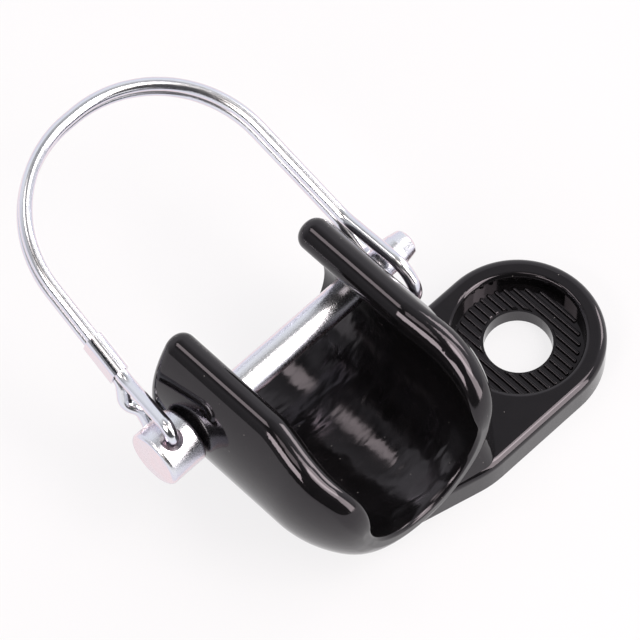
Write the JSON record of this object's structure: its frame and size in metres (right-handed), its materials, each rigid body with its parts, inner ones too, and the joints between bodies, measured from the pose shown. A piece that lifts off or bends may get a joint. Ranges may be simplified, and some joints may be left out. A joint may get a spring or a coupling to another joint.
{
  "type": "bike trailer hitch",
  "caption": "Cast hitch that clamps under a bicycle's rear axle nut: an open trough takes the trailer tongue, held by a cross pin with a sprung wire bail.",
  "frame": {"origin": "centre of the axle hole on the flat back face of the mounting plate", "axes": "+Z out of the plate towards the open side of the trough, +X along the lock pin from head to tip, +Y towards the ears, the side the trailer tongue comes in from"},
  "size_m": [0.0853, 0.0918, 0.0395],
  "materials": {
    "black_coating": "gloss black powder coat over a casting",
    "zinc_plating": "bright zinc plating on turned steel",
    "zinc_wire": "bright zinc plating on drawn spring wire",
    "zinc_sleeve": "bright zinc plating on rolled sheet"
  },
  "bodies": {
    "hitch": {"hitch_body": "black_coating"},
    "pin": {"lock_pin": "zinc_plating"},
    "bail": {"bail_wire": "zinc_wire", "crimp_sleeve": "zinc_sleeve"}
  },
  "joints": [
    {"name": "pin_turn", "type": "hinge", "parent": "hitch", "child": "pin", "pos_m": [-0.0385, 0.021, 0.0227], "axis": [1, 0, 0], "range_deg": [-110, 135]},
    {"name": "bail_slack", "type": "hinge", "parent": "pin", "child": "bail", "pos_m": [-0.066, 0.021, 0.0227], "axis": [0, -0.2588, 0.9659], "range_deg": [-0.5, 4]}
  ]
}
